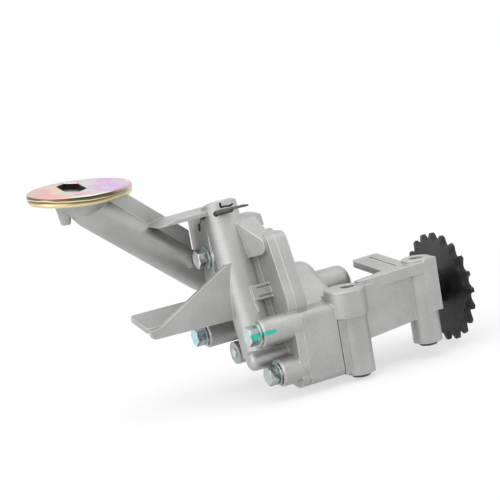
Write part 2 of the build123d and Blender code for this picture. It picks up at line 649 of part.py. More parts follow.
def neck():
    """Thick shoulder that joins the top of the relief housing to the flange."""
    out = JOINT_X - RELIEF_X
    top = RELIEF_TOP - 9.6
    shoulder = plate_xz(
        [(0, top), (out - 3.8, top - 0.3), (out + 5.2, top - 2.8), (out + 5.2, top - 9.2), (out, top - 9.4),
         (out, top - 24), (out - 3.8, top - 23.1), (out - 6.7, top - 18.3), (0, top - 18.3)],
        -9, 7,
    )
    plan = Polyline((0, -9), (out, -9), (out + 5.2, -6), (out + 5.2, 7), (0, 7), close=True)
    shoulder = relief(shoulder & extrude(make_face(plan), top + 1))
    y, z = COVER_DOWELS[1]
    discs = [(y - 3, z + 2, 5), (RELIEF_Y + 6, z + 13, 6), (RELIEF_Y + 4, z, 6)]
    slope = Polyline(
        (RELIEF_X + 2, RELIEF_Y + 2), (COVER_OUT_X - 1, y - 9), (JOINT_X, y - 9),
        (JOINT_X, RELIEF_Y + 12), (RELIEF_X + 2, RELIEF_Y + 12), close=True,
    )
    near = hull_x(discs, RELIEF_X + 3, JOINT_X) & (Pos(0, 0, z - 20) * extrude(make_face(slope), 50))
    return [shoulder, near]


def clip_boss():
    """Slotted boss with two ribs on the near side of the relief housing."""
    out = JOINT_X - RELIEF_X - 2
    face = -RELIEF_DIAMETER / 2 - 2
    body = block(-0.5, out, face, 0, -13.7, -5.2)
    body -= block(3, out + 1, face - 1, face + 1.5, -7.6, -6.4)
    body -= block(3, out + 1, face - 1, face + 1.5, -12.6, -11.4)
    left = plate_xz([(-0.5, -13), (1.5, -13), (1.5, -20), (0.5, -20)], face + 1, 0)
    right = plate_xz([(out - 2.5, -13), (out - 0.5, -13), (out - 0.5, -20), (out - 1.5, -20)], face + 1, 0)
    return relief(body + left + right)


def relief_housing():
    """Leaning round housing of the relief valve and the parts that join it to the cover."""
    housing = relief_rod(RELIEF_DIAMETER / 2, RELIEF_BOTTOM, RELIEF_TOP)
    housing = fillet(housing.edges().filter_by(GeomType.CIRCLE), 1.5)
    web = relief(block(0, COVER_OUT_X - RELIEF_X + 1, -7, 7, RELIEF_BOTTOM + 4, RELIEF_TOP - 22))
    gallery = rod_x((GALLERY_Y, GALLERY_Z), GALLERY_DIAMETER / 2, RELIEF_X - 12, JOINT_X)
    gallery = fillet(gallery.faces().sort_by(Axis.X)[0].edges(), 3)
    end_boss = rod_x(SHAFT, BUSH_OUTSIDE + 2.5, COVER_OUT_X - 3.5, JOINT_X)
    return [end_boss, housing, web, *neck(), clip_boss(), gallery]


def cover_cavities():
    """Bores, oil ways and holes taken out of the cover."""
    tools = [
        relief_rod(PLUNGER_BORE, SEAT_LEDGE, RELIEF_TOP + 1),
        relief_rod(GALLERY_BORE / 2 + 1, RELIEF_BOTTOM + 5, SEAT_LEDGE + 1),
        rod_x((GALLERY_Y, GALLERY_Z), GALLERY_BORE / 2, RELIEF_X - 4, JOINT_X + 1),
        rod_x(SHAFT, BUSH_OUTSIDE, COVER_OUT_X, JOINT_X + 1),
        rod_x(SHAFT, SHAFT_DIAMETER / 2 + 0.7, COVER_OUT_X - 1, JOINT_X),
        tube_along(pickup_path(), PICKUP_BORE / 2),
        rod_x(PICKUP_INLET, PICKUP_BORE / 2, COVER_OUT_X - 4, JOINT_X + 1),
        rod_x(PLUG_SEAT[:2], PLUG_DIAMETER / 2, PLUG_SEAT[2] - 1, PLUG_SEAT[2] + PLUG_LENGTH),
        split_pin_hole(),
        strainer_place(rod_z(0, 0, STRAINER_DIAMETER / 2 + 2, -STRAINER_RIM, STRAINER_RIM)),
    ]
    for y, z, seat in bolt_centres():
        tools.append(rod_x((y, z), BOLT_DIAMETER / 2 + BOLT_CLEARANCE, seat - 1, JOINT_X + 1))
        tools.append(rod_x((y, z), WASHER_DIAMETER / 2 + 0.3, seat - BOLT_HEAD_HEIGHT - 5, seat))
    for centre in COVER_DOWELS:
        tools.append(cover_dowel_rod(centre, 0.5))
    return tools


def make_pump_cover():
    """Die-cast cover with relief housing, bolt towers, splash plate and suction tube."""
    masses = [flange(COVER_OUT_X, JOINT_X), *relief_housing(), *towers(), *suction_box()]
    masses += [*pickup_tube(), *splash_plate()]
    return cut(fuse(masses), cover_cavities())


# ---- relief valve -------------------------------------------------------------------------------
def split_pin_hole():
    """Cross hole for the split pin."""
    hole = Rot(0, 90, 0) * Cylinder(SPLIT_PIN_DIAMETER / 2 + 0.1, RELIEF_DIAMETER + 4)
    return relief(Pos(0, 0, SPLIT_PIN_AT) * Rot(0, 0, SPLIT_PIN_TURN) * hole)


def make_relief_plunger():
    """Hollow plunger that lifts off its ledge against the spring."""
    body = rod_z(0, 0, PLUNGER_DIAMETER / 2, SEAT_LEDGE, SEAT_LEDGE + PLUNGER_LENGTH)
    body = chamfer(body.faces().sort_by(Axis.Z)[0].edges(), 1.5)
    inside = PLUNGER_DIAMETER / 2 - PLUNGER_WALL
    return relief(body - rod_z(0, 0, inside, SEAT_LEDGE + 3, SEAT_LEDGE + PLUNGER_LENGTH + 1))


def spring_seat_face():
    """Height of the spring's upper seat, under the split pin."""
    return SPLIT_PIN_AT - SPLIT_PIN_DIAMETER / 2 - SPRING_SEAT_LENGTH


def make_relief_spring():
    """Coil spring between the plunger's floor and the seat cup."""
    low = SEAT_LEDGE + 3 + SPRING_WIRE / 2 + 0.1
    high = spring_seat_face() + SPRING_CUP_DEPTH - SPRING_WIRE / 2 - 0.1
    radius = (SPRING_DIAMETER - SPRING_WIRE) / 2
    coil = Helix(pitch=(high - low) / SPRING_TURNS, height=high - low, radius=radius)
    start = Plane(coil @ 0, z_dir=coil % 0)
    wire = sweep(start * Circle(SPRING_WIRE / 2), path=coil, is_frenet=True)
    return relief(Pos(0, 0, low) * wire)


def make_relief_spring_seat():
    """Cup that closes the spring, held by the split pin across its top."""
    face = spring_seat_face()
    cup = rod_z(0, 0, PLUNGER_DIAMETER / 2, face, face + SPRING_SEAT_LENGTH)
    cup = chamfer(cup.edges().filter_by(GeomType.CIRCLE), 0.6)
    return relief(cup - rod_z(0, 0, SPRING_DIAMETER / 2 + 0.4, face - 1, face + SPRING_CUP_DEPTH))


def make_split_pin():
    """Split pin with an eye at one end, one long leg bent along the housing."""
    r = SPLIT_PIN_DIAMETER / 2
    half = RELIEF_DIAMETER / 2
    shank = Rot(0, 90, 0) * Cylinder(r, 2 * half + 3)
    eye = Pos(half + SPLIT_PIN_EYE + r, 0, 0) * Rot(90, 0, 0) * Torus(SPLIT_PIN_EYE, r * 0.7)
    lean = Rot(5, 0, 0) * Rot(90, 0, 0)
    leg = Pos(-half - 1.2, 0, 0) * lean * Cylinder(r * 0.6, SPLIT_PIN_LEG, align=(Align.CENTER, Align.CENTER, Align.MIN))
    pin = shank + eye + leg
    return relief(Pos(0, 0, SPLIT_PIN_AT) * Rot(0, 0, SPLIT_PIN_TURN) * pin)


# ---- fasteners ------------------------------------------------------------------------------------
def cover_bolt(spot):
    """Hexagon-head bolt along X, from its head's seat into the body."""
    y, z, seat = spot
    under = seat - WASHER_THICKNESS
    head = Pos(under - BOLT_HEAD_HEIGHT, y, z) * extrude(
        Plane.YZ * RegularPolygon(BOLT_HEAD / 2, 6, major_radius=False, rotation=20), BOLT_HEAD_HEIGHT
    )
    cone = Pos(under - BOLT_HEAD_HEIGHT / 2, y, z) * Rot(0, 90, 0) * Cone(
        BOLT_HEAD / 2 - 0.1, BOLT_HEAD / 2 - 0.1 + BOLT_HEAD_HEIGHT * 1.2, BOLT_HEAD_HEIGHT
    )
    shank = rod_x((y, z), BOLT_DIAMETER / 2, under - 1, JOINT_X + BOLT_ENGAGEMENT)
    return (head & cone) + shank


def washer(spot):
    """Flat washer under a bolt head."""
    y, z, seat = spot
    ring = rod_x((y, z), WASHER_DIAMETER / 2, seat - WASHER_THICKNESS, seat)
    ring = chamfer(ring.edges().filter_by(GeomType.CIRCLE), 0.25)
    return ring - rod_x((y, z), BOLT_DIAMETER / 2, seat - 5, seat + 5)


def make_bolt_washers():
    return Compound(children=[washer(spot) for spot in bolt_centres()])


def make_gallery_plug():
    """Steel plug pressed into the drilled oil way."""
    y, z, seat = PLUG_SEAT
    plug = rod_x((y, z), PLUG_DIAMETER / 2, seat - PLUG_PROUD, seat - PLUG_PROUD + PLUG_LENGTH)
    return chamfer(plug.faces().sort_by(Axis.X)[0].edges(), 0.4)


# ---- strainer -------------------------------------------------------------------------------------
def make_strainer_plate():
    """Pressed steel cap with a rounded rim and a six-sided inlet."""
    radius = STRAINER_DIAMETER / 2
    cap = Pos(0, 0, -STRAINER_RIM / 2) * Cylinder(radius, STRAINER_RIM)
    cap = fillet(cap.faces().sort_by(Axis.Z)[-1].edges(), 1.2)
    inside = Pos(0, 0, -STRAINER_SHEET - STRAINER_RIM / 2) * Cylinder(radius - STRAINER_SHEET, STRAINER_RIM)
    side, tip = STRAINER_HOLE[0] / 2, STRAINER_HOLE[1] / 2
    shoulder = tip - STRAINER_HOLE_END
    six = Polyline(
        (0, tip), (side, shoulder), (side, -shoulder), (0, -tip), (-side, -shoulder), (-side, shoulder), close=True,
    )
    turned = Pos(*STRAINER_HOLE_AT, -STRAINER_RIM) * Rot(0, 0, -5)
    hole = turned * extrude(make_face(six), 2 * STRAINER_RIM)
    return strainer_place(cap - inside - hole)


def make_strainer_gauze():
    """Disc of gauze inside the cap, on the bell's mouth."""
    radius = STRAINER_DIAMETER / 2 - STRAINER_SHEET
    disc = Pos(0, 0, -STRAINER_RIM + 0.4) * Cylinder(radius, 0.8)
    return strainer_place(disc)


# ---- write every piece --------------------------------------------------------------------------------
PIECES = {
    "pump_body": make_pump_body,
    "pump_cover": make_pump_cover,
    "drive_shaft": make_drive_shaft,
    "drive_gear": make_drive_gear,
    "driven_gear": make_driven_gear,
    "sprocket": make_sprocket,
    "nose_bush": make_nose_bush,
    "body_bush": make_body_bush,
    "cover_bush": make_cover_bush,
    "idler_bush": make_idler_bush,
    "idler_pin": make_idler_pin,
    "mounting_dowels": make_mounting_dowels,
    "cover_dowels": make_cover_dowels,
    "relief_plunger": make_relief_plunger,
    "relief_spring": make_relief_spring,
    "relief_spring_seat": make_relief_spring_seat,
    "split_pin": make_split_pin,
    "cover_bolt_near_top": lambda: cover_bolt(BOLT_NEAR_TOP),
    "cover_bolt_near_low": lambda: cover_bolt(BOLT_NEAR_LOW),
    "cover_bolt_far_top": lambda: cover_bolt(BOLT_FAR_TOP),
    "cover_bolt_far_low": lambda: cover_bolt(BOLT_FAR_LOW),
    "bolt_washers": make_bolt_washers,
    "gallery_plug": make_gallery_plug,
    "strainer_plate": make_strainer_plate,
    "strainer_gauze": make_strainer_gauze,
}

for name, make in PIECES.items():
    export_step(make(), f"parts/{name}.step")
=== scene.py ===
"""Chain-driven engine oil pump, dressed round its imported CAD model. Metres, +Z up."""

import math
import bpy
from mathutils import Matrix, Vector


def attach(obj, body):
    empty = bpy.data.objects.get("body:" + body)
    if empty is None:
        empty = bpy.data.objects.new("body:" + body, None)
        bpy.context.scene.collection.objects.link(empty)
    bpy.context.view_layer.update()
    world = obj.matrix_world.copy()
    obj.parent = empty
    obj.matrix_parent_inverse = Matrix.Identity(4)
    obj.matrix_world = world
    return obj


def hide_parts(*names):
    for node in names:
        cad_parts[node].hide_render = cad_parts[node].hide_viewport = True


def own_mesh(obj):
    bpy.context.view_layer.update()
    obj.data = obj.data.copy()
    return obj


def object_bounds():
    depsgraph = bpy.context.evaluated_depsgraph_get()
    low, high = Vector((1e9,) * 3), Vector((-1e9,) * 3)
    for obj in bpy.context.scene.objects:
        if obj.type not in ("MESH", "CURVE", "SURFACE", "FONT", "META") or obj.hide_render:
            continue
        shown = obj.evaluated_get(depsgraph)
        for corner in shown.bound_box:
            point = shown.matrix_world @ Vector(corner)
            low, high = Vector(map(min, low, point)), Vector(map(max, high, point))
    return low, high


bl_info = {
    "name": "Engine Oil Pump",
    "version": (1, 0, 0),
    "blender": (4, 5, 0),
    "location": "View3D > Sidebar > Oil Pump",
    "description": "Builds the pieces and finishes of a chain-driven engine oil pump",
    "category": "Object",
}

import bpy
import numpy as np
from bpy.props import FloatProperty, FloatVectorProperty, PointerProperty
from mathutils import Matrix

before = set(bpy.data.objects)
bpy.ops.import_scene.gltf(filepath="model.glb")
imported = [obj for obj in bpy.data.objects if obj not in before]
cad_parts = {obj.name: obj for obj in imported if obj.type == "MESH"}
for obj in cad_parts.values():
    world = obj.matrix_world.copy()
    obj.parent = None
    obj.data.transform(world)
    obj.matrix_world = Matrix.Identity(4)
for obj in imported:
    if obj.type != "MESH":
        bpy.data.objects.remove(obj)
CAD_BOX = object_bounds()

MM = 0.001

# Places in millimetres, as the CAD has them, and angles in radians.
STRAINER_CENTRE = (-123.8, 57.5, 130.1)
STRAINER_TILT = math.radians(5.3)
STRAINER_LEAN = math.radians(2.0)
HOLE_AT = (-2.4, 6.5)
HOLE_TURN = math.radians(85.0)
RELIEF_POINT = (-50.0, 30.9, 61.7)
RELIEF_TILT = math.radians(15.7)
PIN_ALONG = 39.3
PIN_TURN = math.radians(53.0)
PIN_LEAN = math.radians(5.0)
JOINT_X = -34.0
SPROCKET_CENTRE = (74.5, 21.0, 29.5)

# How the bolts are cut: the hexagon's turn, the slope of its chamfer, how far its corners reach past the
# flats as a ratio, and the thread in millimetres.
HEXAGON_TURN = math.radians(20.0)
CHAMFER_SLOPE = math.tan(math.radians(30.0))
CORNER_REACH = 1.135
THREAD_LENGTH = 20.0
THREAD_DEPTH = 0.5

# Each bolt's axis (y, z) and the x where its washer seats, in millimetres.
BOLTS = {
    "near_top": (2.0, 36.6, -57.6),
    "near_low": (2.0, 12.2, -50.0),
    "far_top": (48.0, 76.5, -60.5),
    "far_low": (59.0, 30.5, -66.0),
}

# Ends of the marks on the metal, in millimetres.
PAINT_STROKES = (
    ((-63.6, -3.2, 37.2), (-59.3, -3.3, 37.5)),
    ((-62.4, -3.2, 36.4), (-61.8, -2.8, 34.4)),
    ((-59.0, -4.6, 37.6), (-57.4, -5.2, 37.6)),
    ((-57.4, -5.8, 37.7), (-51.4, -5.8, 37.8)),
)
# Slots and the holes at their ends in the casting, where the shade inside them is painted black.
SLOTS = (
    ((-52.9, 33.2, 106.9), (-53.1, 32.6, 105.0)),
    ((-53.1, 32.6, 104.9), (-47.5, 32.3, 104.6)),
    ((-47.5, 32.3, 104.6), (-45.4, 33.3, 105.2)),
    ((-60.5, 42.0, 100.8), (-60.5, 46.6, 99.0)),
    ((-60.5, 46.6, 99.0), (-60.5, 51.3, 93.8)),
)
SLOT_ENDS = (
    ((-60.5, 42.0, 100.8), (-60.5, 43.4, 100.4)),
    ((-60.5, 51.0, 94.4), (-60.5, 51.5, 93.2)),
)


def colour(name, description, default):
    """A colour setting."""
    limits = {"size": 3, "min": 0, "max": 1}
    return FloatVectorProperty(name=name, description=description, subtype="COLOR", default=default, **limits)


def length(name, description, default):
    """A length setting in metres."""
    unit = {"subtype": "DISTANCE", "unit": "LENGTH"}
    return FloatProperty(name=name, description=description, default=default, **unit)


# ---- settings ---------------------------------------------------------------------


class PumpFinishes(bpy.types.PropertyGroup):
    """Colours of the metals and of the paint mark."""

    aluminium: colour("Aluminium", "Die-cast aluminium", (0.455, 0.455, 0.447))
    aluminium_dark: colour("Aluminium shade", "Darker patches of the casting skin", (0.38, 0.38, 0.374))
    # Also painted along every cast edge, partly as wear and partly as a painted edge highlight.
    machined_and_highlight: colour("Machined", "Cut and worn aluminium edges", (0.74, 0.74, 0.73))
    zinc: colour("Zinc", "Bright zinc plate", (0.6, 0.69, 0.69))
    # Painted light: a lighter copy of the zinc, for the far top bolt.
    zinc_lit: colour("Pale zinc", "Clean zinc plate", (0.95, 0.98, 0.97))
    # A darker copy of the zinc, for the near low bolt.
    zinc_dull: colour("Dull zinc", "Handled zinc plate", (0.48, 0.54, 0.53))
    zinc_blue: colour("Blue zinc", "Blue passivated zinc plate", (0.5, 0.76, 0.84))
    black: colour("Black steel", "Phosphated steel", (0.008, 0.008, 0.009))
    dark: colour("Dark steel", "Oiled dark steel", (0.1, 0.095, 0.085))
    bright: colour("Bright steel", "Ground steel", (0.5, 0.5, 0.5))
    sintered: colour("Sintered steel", "Gears and spring wire", (0.3, 0.3, 0.31))
    wire: colour("Gauze wire", "Plain wire of the gauze", (0.35, 0.35, 0.35))
    bronze: colour("Bronze", "Bearing bronze", (0.5, 0.33, 0.15))
    paint: colour("Paint mark", "Inspection paint on the bolt", (0.04, 0.5, 0.4))


class StrainerSizes(bpy.types.PropertyGroup):
    """Sizes of the strainer's cap and gauze."""

    radius: length("Radius", "Outside radius of the cap", 0.029)
    rim: length("Rim", "Height of the rim", 0.0056)
    gauze: length("Gauze", "Depth of the gauze below the cap's top", 0.0045)
    sheet: length("Sheet", "Thickness of the cap's sheet", 0.0012)
    hole_length: length("Hole length", "Length of the six-sided inlet", 0.037)
    hole_width: length("Hole width", "Width of the six-sided inlet", 0.0125)
    hole_end: length("Hole end", "Length of the inlet's pointed ends", 0.007)
    wire_pitch: length("Wire pitch", "Spacing of the gauze wires", 0.0011)
    wire: length("Wire", "Diameter of the gauze wires", 0.00034)


class ReliefSizes(bpy.types.PropertyGroup):
    """Sizes of the relief valve's spring and split pin."""

    wire: length("Spring wire", "Diameter of the spring's wire", 0.0016)
    coil: length("Spring diameter", "Outside diameter of the spring", 0.0092)
    turns: FloatProperty(name="Turns", description="Turns of the spring", default=9.0)
    low: length("Low end", "Spring's low end along the valve's axis", -0.0319)
    high: length("High end", "Spring's high end along the valve's axis", 0.0307)
    pin: length("Pin", "Radius of the split pin's closed legs", 0.0014)
    eye: length("Eye", "Radius of the split pin's eye", 0.0026)
    long_leg: length("Long leg", "Length of the split pin's longer bent leg", 0.0193)
    short_leg: length("Short leg", "Length of its shorter bent leg", 0.0105)


class BoltSizes(bpy.types.PropertyGroup):
    """Sizes of the cover bolts."""

    flats: length("Across flats", "Width of the head", 0.01)
    head: length("Head", "Height of the head", 0.0055)
    washer: length("Washer", "Thickness of the washer", 0.0014)
    shank: length("Shank", "Radius of the shank", 0.00295)
    pitch: length("Pitch", "Pitch of the thread", 0.001)
    dish: length("Dish", "Depth of the dish in the head", 0.0004)
    engagement: length("Engagement", "Thread in the body", 0.014)


class StageSizes(bpy.types.PropertyGroup):
    """The floor under the pump, its light and the lens."""

    floor: length("Floor", "Half width of the floor", 6.0)
    shadow_free: FloatProperty(name="Glow", description="Share of the floor free of shadow", default=0.6)
    ambient: FloatProperty(name="Ambient", description="World light on the pump", default=0.62)
    lens: FloatProperty(name="Lens", description="Camera lens in millimetres", default=86.4)


# ---- meshes -------------------------------------------------------------------------


def mesh_piece(name, points, faces, smooth=True):
    """Mesh from an array of points and arrays of faces, each array of one polygon size."""
    starts, loops, sizes = [], [], []
    offset = 0
    for group in faces:
        count, corners = group.shape
        loops.append(group.ravel())
        starts.append(offset + corners * np.arange(count))
        sizes.append(np.full(count, corners))
        offset += count * corners
    mesh = bpy.data.meshes.new(name)
    mesh.vertices.add(len(points))
    mesh.vertices.foreach_set("co", np.asarray(points, dtype=np.float32).ravel())
    mesh.loops.add(offset)
    mesh.loops.foreach_set("vertex_index", np.concatenate(loops).astype(np.int32))
    total = np.concatenate(starts)
    mesh.polygons.add(len(total))
    mesh.polygons.foreach_set("loop_start", total.astype(np.int32))
    mesh.polygons.foreach_set("loop_total", np.concatenate(sizes).astype(np.int32))
    mesh.polygons.foreach_set("use_smooth", np.full(len(total), smooth))
    mesh.update(calc_edges=True)
    mesh.validate()
    piece = bpy.data.objects.new(name, mesh)
    bpy.context.scene.collection.objects.link(piece)
    return piece


def grid_faces(rows, columns, close_rows=False, close_columns=False):
    """Quads of a grid of points, where point (i, j) is number i * columns + j.

    A closed side joins its last line to its first."""
    i = np.arange(rows if close_rows else rows - 1)[:, None]
    j = np.arange(columns if close_columns else columns - 1)[None, :]
    below, beside = (i + 1) % rows, (j + 1) % columns
    quad = [i * columns + j, i * columns + beside, below * columns + beside, below * columns + j]
    return np.stack(np.broadcast_arrays(*quad), axis=-1).reshape(-1, 4)


def tubes(paths, radius, sides, up):
    """Round wires along many paths, shape (wires, points, 3).

    A ring point is the path's point plus radius times (cos a across + sin a over), where across is
    the tangent crossed with up and over is across crossed with the tangent. Both ends have caps."""
    wires, count, _ = paths.shape
    tangent = np.gradient(paths, axis=1)
    tangent /= np.linalg.norm(tangent, axis=2, keepdims=True)
    across = np.cross(tangent, np.broadcast_to(up, tangent.shape))
    across /= np.linalg.norm(across, axis=2, keepdims=True)
    over = np.cross(across, tangent)
    angle = np.linspace(0, 2 * np.pi, sides, endpoint=False)
    ring = np.cos(angle)[:, None] * across[:, :, None, :] + np.sin(angle)[:, None] * over[:, :, None, :]
    points = paths[:, :, None, :] + radius * ring
    step = count * sides
    quads = grid_faces(count, sides, close_columns=True)[:, ::-1]
    quads = (quads[None] + step * np.arange(wires)[:, None, None]).reshape(-1, 4)
    cap = np.arange(sides)[None] + step * np.arange(wires)[:, None]
    return points.reshape(-1, 3), [quads, cap, (cap + step - sides)[:, ::-1]]


def metres(place):
    """A place given in millimetres, in metres."""
    return np.array(place) * MM


def strainer_place(points):
    """Turns points drawn about the strainer's own axis by its lean and tilt, and moves them to its centre."""
    return points @ strainer_turn().T + metres(STRAINER_CENTRE)


def strainer_turn():
    """Matrix of the lean about Y followed by the tilt about X."""
    sin_x, cos_x = math.sin(STRAINER_TILT), math.cos(STRAINER_TILT)
    sin_y, cos_y = math.sin(STRAINER_LEAN), math.cos(STRAINER_LEAN)
    return np.array([
        [cos_y, 0, sin_y],
        [sin_x * sin_y, cos_x, -sin_x * cos_y],
        [-cos_x * sin_y, sin_x, cos_x * cos_y],
    ])


def relief_place(points):
    """Leans points drawn about Z towards +Y by the valve's tilt, and moves them to the valve's axis."""
    cosine, sine = math.cos(RELIEF_TILT), math.sin(RELIEF_TILT)
    turn = np.array([[1, 0, 0], [0, cosine, sine], [0, -sine, cosine]])
    return points @ turn.T + metres(RELIEF_POINT)


# ---- materials ----------------------------------------------------------------------


class Value:
    """A shader socket that can stand in an arithmetic expression."""

    def __init__(self, finish, socket):
        self.finish = finish
        self.socket = socket

    def math(self, operation, *values):
        """Value of a Math node."""
        return self.finish.node("ShaderNodeMath", {"operation": operation}, dict(enumerate(values)))

    def __add__(self, other):
        return self.math("ADD", self, other)

    def __sub__(self, other):
        return self.math("SUBTRACT", self, other)

    def __rsub__(self, other):
        return self.math("SUBTRACT", other, self)

    def __mul__(self, other):
        return self.math("MULTIPLY", self, other)

    def __truediv__(self, other):
        return self.math("DIVIDE", self, other)

    def __pow__(self, other):
        return self.math("POWER", self, other)

    def __rtruediv__(self, other):
        return self.math("DIVIDE", other, self)

    def maximum(self, other):
        """The larger of two."""
        return self.math("MAXIMUM", self, other)

    def sine(self):
        """Sine of an angle in radians."""
        return self.math("SINE", self)

    __radd__ = __add__
    __rmul__ = __mul__


class Finish:
    """A material built node by node."""

    def __init__(self, name):
        self.material = bpy.data.materials.new(name)
        self.material.use_nodes = True
        self.tree = self.material.node_tree
        self.shader = self.tree.nodes["Principled BSDF"]

    def feed(self, socket, value):
        """Links a value, or sets a number or colour."""
        if isinstance(value, Value):
            self.tree.links.new(value.socket, socket)
        else:
            socket.default_value = value

    def node(self, kind, settings=None, inputs=None, output=0):
        """One output of a new node. Settings come first, and stops are a ramp's (place, colour) pairs."""
        node = self.tree.nodes.new(kind)
        for key, value in (settings or {}).items():
            if key == "stops":
                ramp = node.color_ramp
                while len(ramp.elements) < len(value):
                    ramp.elements.new(0.5)
                for element, (place, shade) in zip(ramp.elements, value):
                    element.position = place
                    element.color = shade
            else:
                setattr(node, key, value)
        for key, value in (inputs or {}).items():
            self.feed(node.inputs[key], value)
        return Value(self, node.outputs[output])

    def place(self):
        """Object coordinates, in metres."""
        return self.node("ShaderNodeTexCoord", output=3)

    def vector(self, operation, *values, output=0):
        """Value of a Vector Math node, whose output 1 is its number."""
        settings = {"operation": operation}
        return self.node("ShaderNodeVectorMath", settings, dict(enumerate(values)), output)

    def along(self, direction, origin=(0.0, 0.0, 0.0)):
        """Distance of the point from an origin along a direction."""
        offset = self.vector("SUBTRACT", self.place(), origin)
        return self.vector("DOT_PRODUCT", offset, tuple(direction), output=1)

    def stroke(self, start, end):
        """Distance of the point from a line between two points given in millimetres."""
        first = metres(start)
        run = metres(end) - first
        share = self.along(run, tuple(first)) / float(run @ run)
        share = share.math("MINIMUM", share.maximum(0.0), 1.0)
        reach = self.node("ShaderNodeVectorMath", {"operation": "SCALE"}, {0: tuple(run), "Scale": share})
        near = self.vector("ADD", reach, tuple(first))
        return self.vector("LENGTH", self.vector("SUBTRACT", self.place(), near), output=1)

    def strokes(self, lines, radius, blur):
        """1 within a radius of any of the lines, fading over the blur."""
        mask = 0.0
        for start, end in lines:
            inside = 1.0 - self.ramp(self.stroke(start, end), radius - blur, radius + blur)
            mask = inside if mask == 0.0 else inside.maximum(mask)
        return mask

    def noise(self, scale, detail=3.0, roughness=0.55, vector=None):
        """Noise from 0 to 1 with so many lumps to the metre."""
        source = vector or self.place()
        settings = {"Vector": source, "Scale": scale, "Detail": detail, "Roughness": roughness}
        return self.node("ShaderNodeTexNoise", None, settings)

    def ramp(self, value, low, high):
        """0 below low and 1 above high, with a smooth change between."""
        inputs = {0: value, 1: low, 2: high, 3: 0.0, 4: 1.0}
        return self.node("ShaderNodeMapRange", {"interpolation_type": "SMOOTHSTEP", "clamp": True}, inputs)

    def mix(self, factor, first, second):
        """Colour between two."""
        inputs = {0: factor, 6: rgba(first), 7: rgba(second)}
        return self.node("ShaderNodeMix", {"data_type": "RGBA"}, inputs, output=2)

    def bump(self, height, distance, strength=1.0, normal=None):
        """Normal of a height in units of distance."""
        inputs = {"Height": height, "Distance": distance, "Strength": strength}
        if normal is not None:
            inputs["Normal"] = normal
        return self.node("ShaderNodeBump", None, inputs)

    def rounded(self, radius):
        """Normal of edges rounded by a radius."""
        return self.node("ShaderNodeBevel", {"samples": 6}, {"Radius": radius})

    def edges(self, radius):
        """1 along edges, 0 on open faces: the rounded normal set against the plain one."""
        plain = self.node("ShaderNodeNewGeometry", output=1)
        dot = self.vector("DOT_PRODUCT", self.rounded(radius), plain, output=1)
        return self.ramp(1.0 - dot, 0.01, 0.16)

    def finish(self, **values):
        """Sets the shader's sockets by name, with _ for a space."""
        for key, value in values.items():
            self.feed(self.shader.inputs[key.replace("_", " ")], value)
        return self.material


def rgba(value):
    """Colour with its alpha, or a link as it is."""
    return value if isinstance(value, Value) else (*value[:3], 1.0)


def cast_aluminium(name, finishes):
    """Blasted die-cast skin: fine grain, faint clouding, bright fettled edges that are partly a painted edge
    highlight, two slot recesses whose shade is painted black, and some paint.
    """
    f = Finish(name)
    grain = f.noise(1900, 3)
    pits = f.noise(700, 2)
    cloud = f.noise(45, 4)
    edge = f.edges(0.0009)
    skin = f.mix(f.ramp(cloud, 0.35, 0.68), finishes.aluminium_dark, finishes.aluminium)
    skin = f.mix(f.ramp(grain, 0.35, 0.75) * 0.2, skin, finishes.machined_and_highlight)
    skin = f.mix(f.ramp(pits, 0.5, 0.75) * 0.3, skin, finishes.aluminium_dark)
    # Worn fettled edges and a painted edge highlight: the edge mask is painted in the bright machined colour.
    skin = f.mix(edge * 0.8, skin, finishes.machined_and_highlight)
    # Painted shade: the slots and the holes at their ends are painted black as the shade inside these
    # recesses, and the same mask dents them.
    slot_shade = f.strokes(SLOTS, 0.00055, 0.00015).maximum(f.strokes(SLOT_ENDS, 0.0019, 0.0003))
    skin = f.mix(slot_shade, skin, finishes.black)
    paint = f.strokes(PAINT_STROKES, 0.0012, 0.0004) * f.ramp(pits, 0.15, 0.4)
    skin = f.mix(paint, skin, finishes.paint)
    height = grain * 0.6 + pits * 0.4 - slot_shade * 3.0
    return f.finish(
        Base_Color=skin,
        Metallic=0.58,
        Roughness=0.37 + cloud * 0.16 - edge * 0.1,
        Normal=f.bump(height, 0.0002, 0.65, f.rounded(0.0006)),
    )


def plated_steel(name, shade, metallic=1.0, rough=0.28):
    """Plated steel with a faint grain."""
    f = Finish(name)
    grain = f.noise(1500, 3)
    cloud = f.noise(160, 3)
    edge = f.edges(0.0004)
    dull = tuple(0.7 * c for c in shade)
    tone = f.mix(f.ramp(cloud, 0.3, 0.7), dull, shade)
    return f.finish(
        Base_Color=tone,
        Metallic=metallic,
        Roughness=rough + grain * 0.12 - edge * 0.05,
        Normal=f.bump(grain, 0.0001, 0.3, f.rounded(0.0003)),
    )


def bright_zinc(name, shade, finishes, paint=False):
    """Zinc plate: a bright face, and sides streaked with painted dark reflections of the kind that polished
    facets pick up.
    """
    f = Finish(name)
    grain = f.noise(1500, 3)
    reflected_streak = f.noise(260, 2, 0.4)
    # Painted reflection: faces turned away from -X, the head's sides, are painted with dark streaks.
    normal = f.node("ShaderNodeNewGeometry", output=1)
    facing = f.vector("DOT_PRODUCT", normal, (-1.0, 0.0, 0.0), output=1)
    side = 1.0 - f.ramp(facing, 0.55, 0.9)
    tone = f.mix(f.ramp(grain, 0.3, 0.8) * 0.3, shade, tuple(0.6 * c for c in shade))
    dark = f.mix(f.ramp(reflected_streak, 0.4, 0.6), (0.05, 0.055, 0.055), (0.4, 0.43, 0.43))
    tone = f.mix(side * 0.85, tone, dark)
    if paint:
        tone = f.mix(f.strokes(PAINT_STROKES, 0.0013, 0.0004), tone, finishes.paint)
    return f.finish(
        Base_Color=tone,
        Metallic=0.6,
        Roughness=0.24 + grain * 0.12,
        Normal=f.bump(grain, 0.0001, 0.3, f.rounded(0.0003)),
    )


